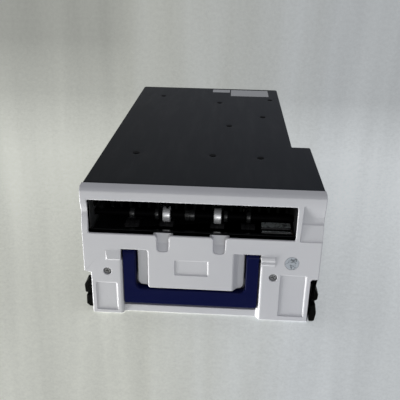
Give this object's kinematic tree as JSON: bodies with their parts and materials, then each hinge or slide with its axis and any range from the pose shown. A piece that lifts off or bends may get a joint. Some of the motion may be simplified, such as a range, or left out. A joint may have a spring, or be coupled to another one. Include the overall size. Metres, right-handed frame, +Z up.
{
  "type": "banknote cassette",
  "caption": "Banknote cassette for a cash machine: dark L-shaped box, white front with a wide note mouth, feed rollers, side latches and a fold-flat carry handle.",
  "frame": {"origin": "bottom centre of the bounding box", "axes": "+X right as seen from the front, +Y from the front towards the rear, +Z up through the lid"},
  "size_m": [0.2312, 0.413, 0.1376],
  "materials": {
    "white_abs": "satin moulded",
    "navy_abs": "satin moulded",
    "charcoal_coat": "satin powder coat",
    "black_acetal": "moulded",
    "black_rubber": "matte",
    "bright_steel": "polished",
    "plated_steel": "zinc plated",
    "dark_steel": "dark plated",
    "white_acetal": "moulded",
    "label_paper": "satin film",
    "sticker_film": "satin film",
    "board_green": "solder mask",
    "bronze": "sintered"
  },
  "bodies": {
    "case": {"bezel_screw_left": "dark_steel", "bezel_screw_right": "dark_steel", "body_shell": "charcoal_coat", "cover_label_large": "label_paper", "cover_label_small": "label_paper", "cover_screw_1": "dark_steel", "cover_screw_2": "dark_steel", "cover_screw_3": "dark_steel", "cover_screw_4": "dark_steel", "cover_screw_5": "dark_steel", "cover_screw_6": "dark_steel", "cover_screw_7": "dark_steel", "cover_screw_8": "dark_steel", "cover_stiffener": "plated_steel", "dock_connector": "black_acetal", "feed_bush_left": "bronze", "feed_bush_right": "bronze", "front_bezel": "white_abs", "gate_shaft": "black_acetal", "guide_rod_left": "bright_steel", "guide_rod_right": "bright_steel", "handle_pin_left": "bright_steel", "handle_pin_right": "bright_steel", "idler_pin": "plated_steel", "latch_pin_left": "bright_steel", "latch_pin_right": "bright_steel", "lower_note_guide": "black_acetal", "mech_plate_left": "plated_steel", "mech_plate_right": "plated_steel", "mouth_lining": "black_acetal", "qc_sticker": "sticker_film", "sensor_board": "board_green", "side_guide_left": "black_acetal", "side_guide_right": "black_acetal", "stacker_belt": "black_rubber", "top_cover": "charcoal_coat", "upper_note_guide": "black_acetal"},
    "handle": {"carry_handle": "navy_abs"},
    "latch_left": {"side_latch_left": "black_acetal"},
    "latch_right": {"side_latch_right": "black_acetal"},
    "feed": {"feed_shaft": "bright_steel", "feed_roller_1": "black_rubber", "feed_roller_2": "black_rubber", "feed_roller_3": "black_rubber", "feed_roller_4": "black_rubber", "feed_gear": "white_acetal"},
    "pick": {"pick_shaft": "bright_steel", "pick_roller_left": "black_rubber", "pick_roller_right": "black_rubber", "pick_gear": "white_acetal"},
    "idler": {"idler_gear": "white_acetal"},
    "drive": {"input_gear": "white_acetal", "drive_coupling": "black_acetal"},
    "nip_left": {"gate_idler_left": "bright_steel"},
    "nip_right": {"gate_idler_right": "bright_steel"},
    "stacker": {"stacker_plate": "black_acetal", "plate_bush_left": "white_acetal", "plate_bush_right": "white_acetal"},
    "pulley_front": {"belt_pulley_front": "white_acetal"},
    "pulley_rear": {"belt_pulley_rear": "white_acetal"}
  },
  "joints": [
    {"name": "handle_swing", "type": "hinge", "parent": "case", "child": "handle", "pos_m": [-0.0099, -0.199, 0.067], "axis": [-1, 0, 0], "range_deg": [0, 90]},
    {"name": "latch_left_press", "type": "hinge", "parent": "case", "child": "latch_left", "pos_m": [-0.1055, -0.192, 0.0215], "axis": [0, 1, 0], "range_deg": [0, 15], "stiffness_Nm_per_rad": 0.5},
    {"name": "latch_right_press", "type": "hinge", "parent": "case", "child": "latch_right", "pos_m": [0.1055, -0.192, 0.0215], "axis": [0, -1, 0], "range_deg": [0, 15], "stiffness_Nm_per_rad": 0.5},
    {"name": "feed_spin", "type": "hinge", "parent": "case", "child": "feed", "pos_m": [0, -0.172, 0.0767], "axis": [1, 0, 0], "continuous": true},
    {"name": "idler_spin", "type": "hinge", "parent": "case", "child": "idler", "pos_m": [0.097, -0.15497, 0.06565], "axis": [1, 0, 0], "continuous": true},
    {"name": "pick_spin", "type": "hinge", "parent": "case", "child": "pick", "pos_m": [0, -0.135, 0.062], "axis": [1, 0, 0], "continuous": true},
    {"name": "drive_spin", "type": "hinge", "parent": "case", "child": "drive", "pos_m": [0.097, -0.1097, 0.062], "axis": [1, 0, 0], "continuous": true},
    {"name": "nip_left_spin", "type": "hinge", "parent": "case", "child": "nip_left", "pos_m": [-0.036, -0.172, 0.097], "axis": [1, 0, 0], "continuous": true},
    {"name": "nip_right_spin", "type": "hinge", "parent": "case", "child": "nip_right", "pos_m": [0.0143, -0.172, 0.097], "axis": [1, 0, 0], "continuous": true},
    {"name": "stacker_slide", "type": "slide", "parent": "case", "child": "stacker", "axis": [0, 1, 0], "range_m": [-0.145, 0.15]},
    {"name": "pulley_front_spin", "type": "hinge", "parent": "case", "child": "pulley_front", "pos_m": [-0.103, -0.083, 0.07], "axis": [1, 0, 0], "range_deg": [-986, 954]},
    {"name": "pulley_rear_spin", "type": "hinge", "parent": "case", "child": "pulley_rear", "pos_m": [-0.103, 0.189, 0.07], "axis": [1, 0, 0], "range_deg": [-986, 954]}
  ],
  "couplings": [
    {"joint": "idler_spin", "follows": "feed_spin", "ratio": -1},
    {"joint": "pick_spin", "follows": "feed_spin", "ratio": 1},
    {"joint": "drive_spin", "follows": "feed_spin", "ratio": -0.66667},
    {"joint": "nip_left_spin", "follows": "feed_spin", "ratio": -1.5},
    {"joint": "nip_right_spin", "follows": "feed_spin", "ratio": -1.5},
    {"joint": "pulley_front_spin", "follows": "stacker_slide", "rad_per_m": -112.99},
    {"joint": "pulley_rear_spin", "follows": "stacker_slide", "rad_per_m": -112.99}
  ]
}
